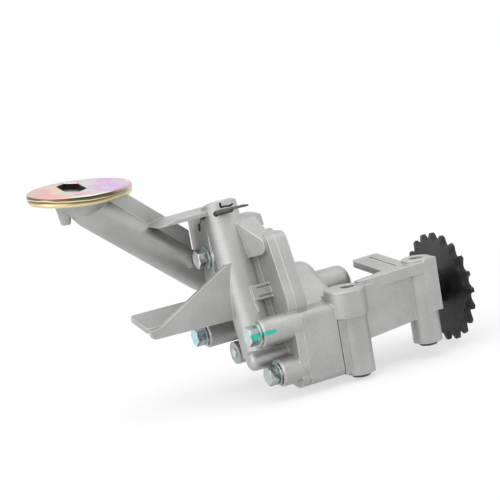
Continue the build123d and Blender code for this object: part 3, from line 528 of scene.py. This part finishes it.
def black_steel(name, finishes):
    """Phosphated steel turned on a lathe: fine rings, a faint bow-tie sheen painted into its colour as a
    painted highlight, and lighter edges.
    """
    f = Finish(name)
    grain = f.noise(2200, 3)
    cloud = f.noise(120, 3)
    edge = f.edges(0.0005)
    centre = tuple(metres(SPROCKET_CENTRE))
    across = f.along((0.0, 1.0, 0.0), centre)
    upward = f.along((0.0, 0.0, 1.0), centre)
    offset = f.vector("SUBTRACT", f.place(), centre)
    radius = f.vector("LENGTH", f.vector("MULTIPLY", offset, (0.0, 1.0, 1.0)), output=1)
    rings = (radius * 9000.0 + cloud * 3.0).sine()
    steepness = upward * upward / (upward * upward + across * across + 1e-7)
    # Painted highlight: a bow-tie sheen, lighter above and below the centre, painted into the colour.
    painted_sheen = f.ramp(steepness, 0.1, 0.95) * f.ramp(radius, 0.009, 0.014)
    tone = f.mix(painted_sheen * 0.6 + f.ramp(cloud, 0.35, 0.7) * 0.2, finishes.black, (0.07, 0.07, 0.068))
    # Lighter along the edges.
    tone = f.mix(edge * 0.25, tone, (0.16, 0.16, 0.16))
    return f.finish(
        Base_Color=tone,
        Metallic=0.0,
        Roughness=0.36 + grain * 0.16,
        Specular_IOR_Level=0.25,
        Normal=f.bump(rings * 0.5 + grain, 0.00008, 0.35, f.rounded(0.0004)),
    )


def yellow_zinc(name, sizes):
    """Passivated zinc whose film changes colour across the cap; round its rim, painted reflections as dark
    and bright stripes, lighter towards one side, painted shade inside the rim and under the cap, and painted
    highlights on the rim's edges.
    """
    f = Finish(name)
    stretched = f.node("ShaderNodeMapping", None, {"Vector": f.place(), "Scale": (1.0, 0.45, 1.0)})
    film = f.noise(60, 3, 0.5, stretched)
    fine = f.noise(320, 3)
    outward = strainer_turn()
    centre = tuple(metres(STRAINER_CENTRE))
    sideways, lengthways, upward = (f.along(outward[:, k], centre) for k in range(3))
    across = sideways / (2 * sizes.radius) + 0.5
    stops = [
        (0.0, (0.62, 0.5, 0.4, 1)),
        (0.13, (0.8, 0.33, 0.38, 1)),
        (0.25, (0.8, 0.5, 0.36, 1)),
        (0.36, (0.5, 0.62, 0.52, 1)),
        (0.46, (0.8, 0.36, 0.42, 1)),
        (0.56, (0.55, 0.64, 0.6, 1)),
        (0.66, (0.72, 0.34, 0.66, 1)),
        (0.76, (0.45, 0.6, 0.74, 1)),
        (0.86, (0.8, 0.4, 0.56, 1)),
        (0.96, (0.66, 0.44, 0.7, 1)),
        (1.0, (0.85, 0.72, 0.3, 1)),
    ]
    drift = f.noise(34, 1, 0.5)
    shift = (film - 0.5) * 0.9 + (drift - 0.5) * 0.5 + (fine - 0.5) * 0.04
    place = 0.1 + across * 0.8 + shift
    tone = f.node("ShaderNodeValToRGB", {"stops": stops}, {0: place})
    tone = f.mix(f.ramp(f.noise(70, 2), 0.48, 0.7) * 0.4, tone, (0.72, 0.7, 0.66))
    depth = 0.0 - upward
    # Painted reflections: dark and bright stripes round the rim, by depth below the cap's top.
    rim_reflection_stops = [
        (0.0, (0.85, 0.78, 0.6, 1)),
        (0.1, (0.05, 0.042, 0.025, 1)),
        (0.36, (0.16, 0.125, 0.06, 1)),
        (0.44, (0.85, 0.8, 0.64, 1)),
        (0.5, (0.75, 0.66, 0.45, 1)),
        (0.56, (0.05, 0.04, 0.02, 1)),
        (0.68, (0.35, 0.27, 0.13, 1)),
        (0.84, (0.8, 0.66, 0.38, 1)),
    ]
    wave = f.noise(30, 2, 0.5)
    rim_reflection_and_shade = f.node("ShaderNodeValToRGB", {"stops": rim_reflection_stops}, {0: depth / sizes.rim + (wave - 0.5) * 0.7})
    # Painted light: the stripes turn lighter towards one side of the cap.
    light = f.ramp(across + (film - 0.5) * 0.3, 0.6, 0.95)
    rim_reflection_and_shade = f.mix(light * 0.7, rim_reflection_and_shade, (0.8, 0.72, 0.5))
    # Painted highlight: the mask of the rim's edges, painted lighter below.
    edge = f.edges(0.0005)
    radius = (sideways * sideways + lengthways * lengthways) ** 0.5
    outer = f.ramp(radius, sizes.radius - 1.9 * MM, sizes.radius - 1.4 * MM)
    # Painted shade: inside the rim and under the cap the colour is near black.
    rim_reflection_and_shade = f.mix(outer, (0.03, 0.028, 0.025), rim_reflection_and_shade)
    tone = f.mix(f.ramp(depth, 0.0003, 0.0007), tone, rim_reflection_and_shade)
    return f.finish(
        Base_Color=f.mix(edge * outer * 0.35, tone, (0.8, 0.72, 0.5)),
        Metallic=1.0,
        Roughness=0.3 + fine * 0.1,
        Normal=f.bump(fine, 0.0001, 0.15, f.rounded(0.0003)),
    )


def dress(names, material):
    """Gives CAD nodes a material."""
    for name in names:
        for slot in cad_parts[name].material_slots:
            slot.material = material


def add_piece(piece, body, slot, material, *nodes):
    """Rides a new piece on a body in place of CAD nodes."""
    piece.data.materials.append(material)
    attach(piece, body)
    if nodes:
        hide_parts(*nodes)


# ---- pieces -------------------------------------------------------------------------


class OILPUMP_OT_castings(bpy.types.Operator):
    """Finish the pump's body and its cover as blasted die castings"""

    bl_idname = "oilpump.castings"
    bl_label = "Castings"

    def execute(self, context):
        finishes = context.scene.pump_finishes
        dress(["pump_body", "pump_cover"], cast_aluminium("cast_aluminium", finishes))
        return {"FINISHED"}


class OILPUMP_OT_sprocket(bpy.types.Operator):
    """Finish the chain sprocket in phosphated black steel"""

    bl_idname = "oilpump.sprocket"
    bl_label = "Sprocket"

    def execute(self, context):
        dress(["sprocket"], black_steel("sprocket_black", context.scene.pump_finishes))
        return {"FINISHED"}


class OILPUMP_OT_running_gear(bpy.types.Operator):
    """Finish the shaft, gears, bushes, dowels and relief plunger"""

    bl_idname = "oilpump.running_gear"
    bl_label = "Running Gear"

    def execute(self, context):
        finishes = context.scene.pump_finishes
        ground = ["drive_shaft", "idler_pin", "relief_plunger", "relief_spring_seat", "cover_dowels"]
        bushes = ["nose_bush", "body_bush", "cover_bush", "idler_bush"]
        dress(ground, plated_steel("ground_steel", tuple(finishes.bright), rough=0.2))
        sintered = plated_steel("sintered_steel", tuple(finishes.sintered), rough=0.4)
        dress(["drive_gear", "driven_gear"], sintered)
        dress(bushes, plated_steel("bearing_bronze", tuple(finishes.bronze)))
        dress(["mounting_dowels"], plated_steel("dark_steel", tuple(finishes.dark), rough=0.4))
        dress(["bolt_washers", "gallery_plug"], bright_zinc("washer_zinc", tuple(finishes.zinc), finishes))
        return {"FINISHED"}


def bolt(spot, sizes):
    """Hexagon-head bolt as one grid: row k at angle a has radius (1 - f) c + f h(a) and depth x.

    h is the hexagon's radius, half the flats over the cosine of the angle from the nearest flat, cut at its
    corners. Rows cross the dished face (f = 0), slope over the chamfer, run down the flats (f = 1), turn in
    under the head and follow the shank. Along the thread the shank's radius falls by a triangle wave of
    x / pitch + a / 2 pi."""
    y, z, seat = metres(spot)
    under = seat - sizes.washer
    columns = 96
    angle = np.linspace(0, 2 * np.pi, columns, endpoint=False)
    half = sizes.flats / 2
    sixth = np.pi / 3
    hexagon = half / np.cos(np.mod(angle - HEXAGON_TURN, sixth) - sixth / 2)
    hexagon = np.minimum(hexagon, half * CORNER_REACH)
    crown = half * 0.95
    face = [(0.04, 1.0), (0.4, 1.0), (0.62, 1.0), (0.7, 0.7), (0.76, 0.1), (0.82, 0.0), (0.95, 0.0)]
    radius = [np.full(columns, share * half) for share, _ in face]
    depth = [np.full(columns, fall * sizes.dish) for _, fall in face]
    for share in (0.3, 0.65, 1.0):
        radius.append(crown + share * (hexagon - crown))
        depth.append(CHAMFER_SLOPE * (radius[-1] - crown))
    shoulder = depth[-1]
    for share in (0.15, 0.5, 0.9, 1.0):
        radius.append(hexagon)
        depth.append(shoulder + share * (sizes.head - shoulder))
    radius += [np.full(columns, 0.9 * half), np.full(columns, sizes.shank)]
    depth += [np.full(columns, sizes.head)] * 2
    start = sizes.head + 2 * MM
    end = JOINT_X * MM + sizes.engagement - under + sizes.head
    thread = end - THREAD_LENGTH * MM
    spiral = np.arange(thread, end - 0.8 * MM, sizes.pitch / 8)
    along = np.concatenate([[start, thread - 0.5 * MM], spiral])
    turn = along[:, None] / sizes.pitch + angle[None] / (2 * np.pi)
    wave = np.abs(2 * np.mod(turn, 1) - 1)
    cut = THREAD_DEPTH * MM * np.clip((along - thread) / sizes.pitch, 0, 1)[:, None]
    radius += [*(sizes.shank - cut * wave), np.full(columns, sizes.shank - MM)]
    depth += [*np.broadcast_to(along[:, None], wave.shape), np.full(columns, end)]
    radius, depth = np.array(radius), np.array(depth)
    x = under - sizes.head + depth
    points = np.stack([x, y + radius * np.cos(angle), z + radius * np.sin(angle)], axis=-1)
    quads = grid_faces(len(radius), columns, close_columns=True)
    first = np.arange(columns)[None, ::-1]
    last = np.arange(columns)[None] + (len(radius) - 1) * columns
    return points.reshape(-1, 3), [quads, first, last]


class OILPUMP_OT_bolts(bpy.types.Operator):
    """Build the four hexagon-head bolts that hold the cover, in bright zinc"""

    bl_idname = "oilpump.bolts"
    bl_label = "Bolts"

    def execute(self, context):
        finishes, sizes = context.scene.pump_finishes, context.scene.pump_bolts
        # The far top bolt gets a lighter copy of the zinc as painted light, and the near low bolt gets a
        # darker copy.
        shades = {
            "near_top": bright_zinc("bright_zinc", tuple(finishes.zinc), finishes, paint=True),
            "near_low": bright_zinc("dull_zinc", tuple(finishes.zinc_dull), finishes),
            "far_top": bright_zinc("lit_zinc", tuple(finishes.zinc_lit), finishes),
            "far_low": bright_zinc("blue_zinc", tuple(finishes.zinc_blue), finishes),
        }
        for place, spot in BOLTS.items():
            piece = mesh_piece(f"bolt_{place}", *bolt(spot, sizes))
            add_piece(piece, "housing", "zinc_steel", shades[place], f"cover_bolt_{place}")
        return {"FINISHED"}


def six_sided(angle, half_length, half_width, end):
    """Radius of an elongated hexagon at an angle: the least distance along the ray to its six sides.

    Two sides are level at half_width. The other four join (half_length, 0) to
    (half_length - end, half_width)."""
    cosine, sine = np.abs(np.cos(angle)), np.abs(np.sin(angle))
    level = half_width / np.maximum(sine, 1e-9)
    slanted = half_length * half_width / (half_width * cosine + end * sine)
    return np.minimum(level, slanted)


def strainer_cap(sizes):
    """Pressed cap with a rolled rim and a six-sided inlet whose edge is turned down.

    Row k at angle a lies at (1 - b) (c + (h(a) + g) e(a)) + b R e(a), where e(a) points along the angle, h is
    the inlet's radius, c its centre, g an offset, R the row's radius and b runs from 0 at the inlet to 1 at
    the rim. The rows cross the outside of the sheet and come back along its inside, so the grid closes both
    ways."""
    count = 360
    angle = np.linspace(0, 2 * np.pi, count, endpoint=False)
    ray = np.stack([np.cos(angle), np.sin(angle)], axis=-1)
    hole = six_sided(angle - HOLE_TURN, sizes.hole_length / 2, sizes.hole_width / 2, sizes.hole_end)
    centre = metres(HOLE_AT)
    radius, sheet, rim = sizes.radius, sizes.sheet, sizes.rim
    roll = 1.3 * MM
    lower = radius - 0.3 * MM
    inside = lower - sheet - 0.3 * MM
    shelf = inside - 1.0 * MM

    # Each row is b, g, R and the height below the cap's top.
    outer = [(0, 0.0, 0.0, -1.9 * MM), (0, 0.0, 0.0, -0.6 * MM)]
    outer += [(0, 0.3 * MM, 0.0, -0.15 * MM), (0, 0.8 * MM, 0.0, 0.0)]
    outer += [(b, 0.8 * MM, radius - roll, 0.0) for b in (0.3, 0.6, 0.85)]
    for turn in np.linspace(0, np.pi / 2, 7):
        outer.append((1, 0.0, radius - roll + roll * math.sin(turn), -roll + roll * math.cos(turn)))
    bead = [(radius, 0.5), (lower - 0.4 * MM, 0.54), (lower - 0.1 * MM, 0.6)]
    bead += [(lower, 0.8), (lower - 0.35 * MM, 0.95), (lower - 0.8 * MM, 1.0)]
    outer += [(1, 0.0, reach, -share * rim) for reach, share in bead]
    inner = [(1, 0.0, inside, -rim), (1, 0.0, inside, -0.5 * rim)]
    inner += [(1, 0.0, inside - 0.4 * MM, -sheet - 0.3 * MM), (1, 0.0, shelf, -sheet)]
    inner += [(b, sheet, shelf, -sheet) for b in (0.85, 0.6, 0.3)]
    inner += [(0, sheet + 0.3 * MM, 0.0, -sheet), (0, 0.8 * sheet, 0.0, -1.6 * MM)]
    inner += [(0, 0.7 * sheet, 0.0, -1.9 * MM)]
    rows = np.array(outer + inner)
    blend, offset, reach, height = (rows[:, k][:, None, None] for k in range(4))
    flat = (1 - blend) * (centre + (hole[None, :, None] + offset) * ray) + blend * reach * ray
    level = np.broadcast_to(height, flat.shape[:2] + (1,))
    points = np.concatenate([flat, level], axis=-1).reshape(-1, 3)
    faces = grid_faces(len(rows), count, close_rows=True, close_columns=True)[:, ::-1]
    return strainer_place(points), [faces]


def gauze(sizes):
    """Woven wires across the cap.

    Wire n lies at n times the pitch from the middle. It rises and falls as the cosine of pi times its length
    over the pitch, half a wave apart from its neighbours. A second set, turned a quarter, is woven through
    the first with the opposite rise."""
    reach = sizes.radius - sizes.sheet - 0.4 * MM
    pitch, swing = sizes.wire_pitch, sizes.wire * 0.55
    number = np.arange(-int(reach / pitch), int(reach / pitch) + 1)
    across = number * pitch
    half = np.sqrt(np.maximum(reach**2 - across**2, 1e-8))
    along = np.linspace(-1, 1, 97)[None] * half[:, None]
    wave = swing * np.cos(np.pi * (along / pitch + number[:, None]))
    side = np.broadcast_to(across[:, None], along.shape)
    warp = np.stack([along, side, wave - sizes.gauze], axis=-1)
    weft = np.stack([side, along, -wave - sizes.gauze], axis=-1)
    points, faces = tubes(np.concatenate([warp, weft]), sizes.wire / 2, 6, (0, 0, 1))
    return strainer_place(points), faces


class OILPUMP_OT_strainer(bpy.types.Operator):
    """Build the strainer's pressed cap and woven gauze"""

    bl_idname = "oilpump.strainer"
    bl_label = "Strainer"

    def execute(self, context):
        finishes, sizes = context.scene.pump_finishes, context.scene.pump_strainer
        cap = mesh_piece("strainer_cap", *strainer_cap(sizes))
        add_piece(cap, "housing", "yellow_zinc_steel", yellow_zinc("yellow_zinc", sizes), "strainer_plate")
        wires = mesh_piece("gauze_wires", *gauze(sizes))
        steel = plated_steel("gauze_steel", tuple(finishes.wire))
        add_piece(wires, "housing", "gauze_wire", steel, "strainer_gauze")
        return {"FINISHED"}


def relief_coil(sizes):
    """Coil spring with close-wound ends.

    The centre line turns evenly about the valve's axis. Its height follows the turn s from 0 to 1 as s less
    0.06 sin(2 pi s), which closes the end coils up."""
    turn = np.linspace(0, 1, int(sizes.turns * 40))
    angle = 2 * np.pi * sizes.turns * turn
    radius = (sizes.coil - sizes.wire) / 2
    low, high = sizes.low + sizes.wire / 2, sizes.high - sizes.wire / 2
    height = low + (high - low) * (turn - 0.06 * np.sin(2 * np.pi * turn))
    path = np.stack([radius * np.cos(angle), radius * np.sin(angle), height], axis=-1)
    points, faces = tubes(path[None], sizes.wire / 2, 12, (0, 0, 1))
    return relief_place(points), faces


def split_pin(sizes):
    """Split pin of half-round wire: half a disc carried along a path, with its round side outwards.

    The path runs in from the tip of the long leg, bends into the cross hole, circles the eye, comes back
    through the hole and bends out along the short leg. Its outward side u is up on the long leg, down on the
    short one and away from the eye's centre round the eye. A ring point is the path's point plus
    r (cos t (tangent x u) + sin t u) for t from 0 to pi."""
    half, gap, bend = 10.5 * MM, 0.06 * MM, 1.6 * MM
    centre_x = half + sizes.eye + sizes.pin
    out = half + 1.2 * MM
    corner = np.linspace(0, np.pi / 2, 9)[1:-1]

    def row(x, y, z):
        """Points from three coordinates, of which some may be single numbers."""
        return np.stack(np.broadcast_arrays(x, y, z), axis=-1)

    def leg(reach, side):
        """Points from a leg's tip to the hole's mouth, at a height on one side of the split."""
        run = np.linspace(reach, bend, 8)
        straight = row(-out, -run, side * gap - (run - bend) * math.sin(PIN_LEAN))
        turned = row(-out + bend * (1 - np.cos(corner)), -bend * (1 - np.sin(corner)), side * gap)
        level = row(np.linspace(-out + bend, half - 1 * MM, 12), 0.0, side * gap)
        return np.concatenate([straight, turned, level])

    turn = np.linspace(np.pi * 0.86, -np.pi * 0.86, 40)
    outward = row(np.cos(turn), 0.0, np.sin(turn))
    first = leg(sizes.long_leg, 1)
    last = leg(sizes.short_leg, -1)[::-1]
    path = np.concatenate([first, (centre_x, 0.0, 0.0) + sizes.eye * outward, last])
    rise = (0.0, 0.0, 1.0)
    up = np.concatenate([np.tile(rise, (len(first), 1)), outward, -np.tile(rise, (len(last), 1))])
    tangent = np.gradient(path, axis=0)
    across = np.cross(tangent, up)
    across /= np.linalg.norm(across, axis=1, keepdims=True)
    over = np.cross(across, tangent)
    over /= np.linalg.norm(over, axis=1, keepdims=True)
    count, sides = len(path), 13
    arc = np.linspace(0, np.pi, sides)[None, :, None]
    width = np.full(count, sizes.pin)
    width[0] = width[-1] = 0.6 * sizes.pin
    section = np.cos(arc) * across[:, None] + np.sin(arc) * over[:, None]
    points = (path[:, None] + width[:, None, None] * section).reshape(-1, 3)
    quads = grid_faces(count, sides, close_columns=True)[:, ::-1]
    start = np.arange(sides)[None]
    end = (start + (count - 1) * sides)[:, ::-1]
    cosine, sine = math.cos(PIN_TURN), math.sin(PIN_TURN)
    spin = np.array([[cosine, -sine, 0], [sine, cosine, 0], [0, 0, 1]])
    return relief_place(points @ spin.T + (0, 0, PIN_ALONG * MM)), [quads, start, end]


class OILPUMP_OT_split_pin(bpy.types.Operator):
    """Build the split pin that keeps the relief valve's spring seat in"""

    bl_idname = "oilpump.split_pin"
    bl_label = "Split Pin"

    def execute(self, context):
        pin = mesh_piece("split_pin_wire", *split_pin(context.scene.pump_relief))
        shade = tuple(context.scene.pump_finishes.dark)
        add_piece(pin, "housing", "dark_steel", plated_steel("pin_steel", shade, rough=0.3), "split_pin")
        return {"FINISHED"}


class OILPUMP_OT_relief_spring(bpy.types.Operator):
    """Build the relief valve's spring"""

    bl_idname = "oilpump.relief_spring"
    bl_label = "Relief Spring"

    def execute(self, context):
        sizes = context.scene.pump_relief
        coil = mesh_piece("relief_coil", *relief_coil(sizes))
        steel = plated_steel("spring_wire", tuple(context.scene.pump_finishes.sintered))
        add_piece(coil, "housing", "spring_steel", steel, "relief_spring")
        anchor = tuple(relief_place(np.array([[0, 0, sizes.high]]))[0])
        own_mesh(coil)
        return {"FINISHED"}


# ---- stage --------------------------------------------------------------------------


def area_light(name, place, target, size, power):
    """Soft rectangular light that looks from a place to a target."""
    data = bpy.data.lights.new(name, "AREA")
    data.shape = "RECTANGLE"
    data.size, data.size_y = size
    data.energy = power
    lamp = bpy.data.objects.new(name, data)
    bpy.context.scene.collection.objects.link(lamp)
    back = np.array(place) - np.array(target)
    back /= np.linalg.norm(back)
    right = np.cross((0, 0, 1), back)
    right /= np.linalg.norm(right)
    up = np.cross(back, right)
    lamp.matrix_world = Matrix.Translation(place) @ Matrix((right, up, back)).transposed().to_4x4()


# Each lamp's name, place, size and power, and the point they all look at.
LAMPS = (
    ("left", (-1.15, -0.2, 0.5), (1.2, 1.2), 8.0),
    ("right", (1.0, -0.72, 0.36), (0.9, 0.9), 2.0),
    ("top", (-0.15, -0.1, 1.35), (1.7, 1.7), 9.5),
)
LAMP_TARGET = (-0.03, 0.03, 0.06)

# The camera's place and the directions to its right, up and back.
CAMERA_PLACE = (-0.31615, -0.57956, 0.18421)
CAMERA_AXES = (
    (0.88626713, -0.42982225, -0.17257871),
    (0.22291001, 0.06920494, 0.97237945),
    (-0.40600703, -0.90025747, 0.15714575),
)
SEEN_RAYS = ("Is Camera Ray", "Is Glossy Ray", "Is Transmission Ray")


def floor_white(sizes):
    """White floor that keeps a soft shadow near the pump and melts into the white world farther off.

    To light that has bounced it is a mid grey, so that it throws less back up at the pump."""
    f = Finish("floor_white")
    bounced = f.node("ShaderNodeLightPath", output="Is Diffuse Ray")
    f.finish(Base_Color=f.mix(bounced, (0.98, 0.98, 0.98), (0.5, 0.5, 0.5)), Roughness=0.9)
    camera, glossy, through = (f.node("ShaderNodeLightPath", output=ray) for ray in SEEN_RAYS)
    seen = camera.maximum(glossy).maximum(through)
    away = f.vector("LENGTH", f.vector("SUBTRACT", f.place(), (0.0, 0.02, 0.0)), output=1)
    share = seen * (sizes.shadow_free + f.ramp(away, 0.12, 0.34) * (1.0 - sizes.shadow_free))
    glow = f.node("ShaderNodeEmission", None, {"Color": (1, 1, 1, 1), "Strength": 1.0})
    lit = Value(f, f.shader.outputs[0])
    both = f.node("ShaderNodeMixShader", None, {0: share, 1: lit, 2: glow})
    f.feed(f.tree.nodes["Material Output"].inputs["Surface"], both)
    return f.material


def studio_world(ambient):
    """World that is white to the camera and in mirrors, and lights the pump at the ambient level."""
    world = bpy.data.worlds.new("studio")
    world.use_nodes = True
    tree = world.node_tree
    path = tree.nodes.new("ShaderNodeLightPath")
    seen = path.outputs[SEEN_RAYS[0]]
    for ray in SEEN_RAYS[1:]:
        larger = tree.nodes.new("ShaderNodeMath")
        larger.operation = "MAXIMUM"
        tree.links.new(seen, larger.inputs[0])
        tree.links.new(path.outputs[ray], larger.inputs[1])
        seen = larger.outputs[0]
    strength = tree.nodes.new("ShaderNodeMapRange")
    strength.inputs[3].default_value = ambient
    strength.inputs[4].default_value = 1.0
    tree.links.new(seen, strength.inputs[0])
    background = tree.nodes["Background"]
    background.inputs[0].default_value = (1, 1, 1, 1)
    tree.links.new(strength.outputs[0], background.inputs[1])
    return world


class OILPUMP_OT_stage(bpy.types.Operator):
    """Set up the floor, the light and the camera"""

    bl_idname = "oilpump.stage"
    bl_label = "Stage"

    def execute(self, context):
        scene = context.scene
        sizes = scene.pump_stage
        half, level = sizes.floor, CAD_BOX[0][2] - 0.1 * MM
        corners = np.array([(x * half, y * half, level) for x, y in ((-1, -1), (1, -1), (1, 1), (-1, 1))])
        floor = mesh_piece("floor", corners, [np.array([[0, 1, 2, 3]])], smooth=False)
        floor.data.materials.append(floor_white(sizes))
        scene.world = studio_world(sizes.ambient)
        for name, place, size, power in LAMPS:
            area_light(name, place, LAMP_TARGET, size, power)
        data = bpy.data.cameras.new("camera")
        data.lens = sizes.lens
        data.sensor_width = 36
        data.clip_start = 0.01
        camera = bpy.data.objects.new("camera", data)
        scene.collection.objects.link(camera)
        turn = Matrix(CAMERA_AXES).transposed().to_4x4()
        camera.matrix_world = Matrix.Translation(CAMERA_PLACE) @ turn
        scene.camera = camera
        scene.view_settings.view_transform = "Standard"
        return {"FINISHED"}


# ---- add-on -------------------------------------------------------------------------

PIECES = (
    OILPUMP_OT_castings,
    OILPUMP_OT_sprocket,
    OILPUMP_OT_running_gear,
    OILPUMP_OT_bolts,
    OILPUMP_OT_strainer,
    OILPUMP_OT_relief_spring,
    OILPUMP_OT_split_pin,
    OILPUMP_OT_stage,
)


class OILPUMP_PT_panel(bpy.types.Panel):
    """Lists the pump's pieces and their settings"""

    bl_idname = "OILPUMP_PT_panel"
    bl_label = "Oil Pump"
    bl_space_type = "VIEW_3D"
    bl_region_type = "UI"
    bl_category = "Oil Pump"

    def draw(self, context):
        for piece in PIECES:
            self.layout.operator(piece.bl_idname)
        for group in SETTINGS:
            settings = getattr(context.scene, group)
            for key in settings.bl_rna.properties.keys():
                if key not in ("rna_type", "name"):
                    self.layout.prop(settings, key)


SETTINGS = {
    "pump_finishes": PumpFinishes,
    "pump_strainer": StrainerSizes,
    "pump_relief": ReliefSizes,
    "pump_bolts": BoltSizes,
    "pump_stage": StageSizes,
}
CLASSES = (*SETTINGS.values(), *PIECES, OILPUMP_PT_panel)


def register():
    """Adds the classes and the scene's settings."""
    for item in CLASSES:
        bpy.utils.register_class(item)
    for name, group in SETTINGS.items():
        setattr(bpy.types.Scene, name, PointerProperty(type=group))


def unregister():
    """Takes the settings and classes away."""
    for name in SETTINGS:
        delattr(bpy.types.Scene, name)
    for item in reversed(CLASSES):
        bpy.utils.unregister_class(item)


def main():
    """Builds every piece in order."""
    register()
    for piece in PIECES:
        group, name = piece.bl_idname.split(".")
        getattr(getattr(bpy.ops, group), name)()


if __name__ == "__main__":
    main()
